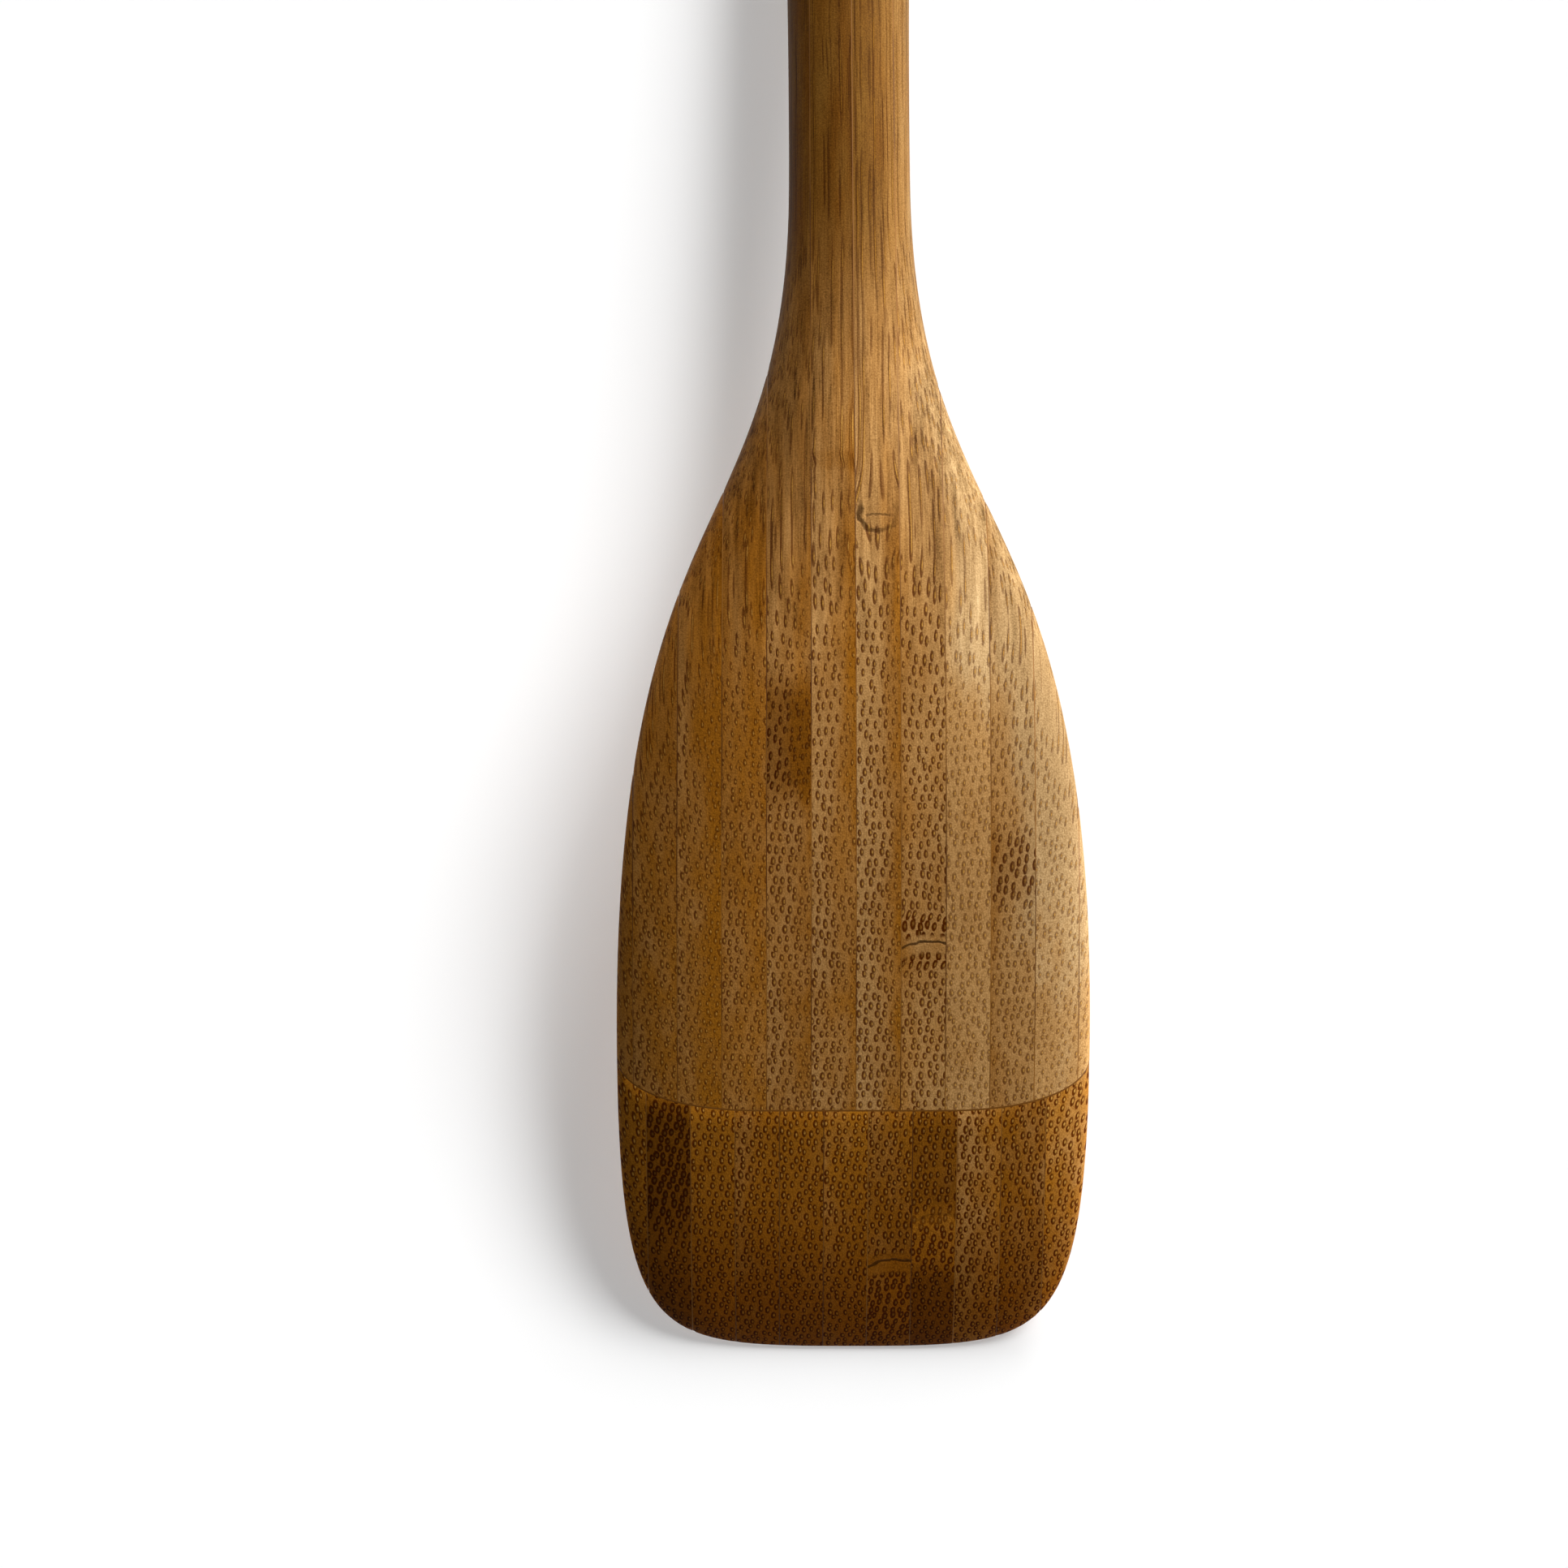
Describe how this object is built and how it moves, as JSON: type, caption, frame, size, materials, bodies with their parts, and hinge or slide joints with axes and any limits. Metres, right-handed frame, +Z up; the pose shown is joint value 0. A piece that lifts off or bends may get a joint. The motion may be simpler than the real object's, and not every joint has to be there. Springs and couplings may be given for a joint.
{
  "type": "bamboo spatula",
  "caption": "Wide kitchen spatula carved from a block of laminated bamboo strips, with a blade that curls down from a slim straight handle, for turning and serving food.",
  "frame": {"origin": "on the table under the middle of the spatula's box, with the spatula lying face up on its front edge and the end of its handle", "axes": "+Z up, +Y towards the end of the handle, +X to the right of someone looking along +Y"},
  "size_m": [0.064, 0.33, 0.0344],
  "materials": {
    "upper_bamboo": "satin oiled",
    "lower_bamboo": "satin oiled",
    "edge_glue": "satin oiled",
    "ply_glue": "satin oiled"
  },
  "bodies": {
    "root": {"lower_glue_line_left_1": "edge_glue", "lower_glue_line_left_2": "edge_glue", "lower_glue_line_left_3": "edge_glue", "lower_glue_line_left_4": "edge_glue", "lower_glue_line_left_5": "edge_glue", "lower_glue_line_middle": "edge_glue", "lower_glue_line_right_1": "edge_glue", "lower_glue_line_right_2": "edge_glue", "lower_glue_line_right_3": "edge_glue", "lower_glue_line_right_4": "edge_glue", "lower_strip_left_1": "lower_bamboo", "lower_strip_left_2": "lower_bamboo", "lower_strip_left_3": "lower_bamboo", "lower_strip_left_4": "lower_bamboo", "lower_strip_left_5": "lower_bamboo", "lower_strip_left_6": "lower_bamboo", "lower_strip_right_1": "lower_bamboo", "lower_strip_right_2": "lower_bamboo", "lower_strip_right_3": "lower_bamboo", "lower_strip_right_4": "lower_bamboo", "lower_strip_right_5": "lower_bamboo", "ply_glue_line": "ply_glue", "upper_glue_line_left_1": "edge_glue", "upper_glue_line_left_2": "edge_glue", "upper_glue_line_left_3": "edge_glue", "upper_glue_line_left_4": "edge_glue", "upper_glue_line_left_5": "edge_glue", "upper_glue_line_middle": "edge_glue", "upper_glue_line_right_1": "edge_glue", "upper_glue_line_right_2": "edge_glue", "upper_glue_line_right_3": "edge_glue", "upper_glue_line_right_4": "edge_glue", "upper_glue_line_right_5": "edge_glue", "upper_strip_left_1": "upper_bamboo", "upper_strip_left_2": "upper_bamboo", "upper_strip_left_3": "upper_bamboo", "upper_strip_left_4": "upper_bamboo", "upper_strip_left_5": "upper_bamboo", "upper_strip_left_6": "upper_bamboo", "upper_strip_right_1": "upper_bamboo", "upper_strip_right_2": "upper_bamboo", "upper_strip_right_3": "upper_bamboo", "upper_strip_right_4": "upper_bamboo", "upper_strip_right_5": "upper_bamboo", "upper_strip_right_6": "upper_bamboo"}
  },
  "joints": []
}
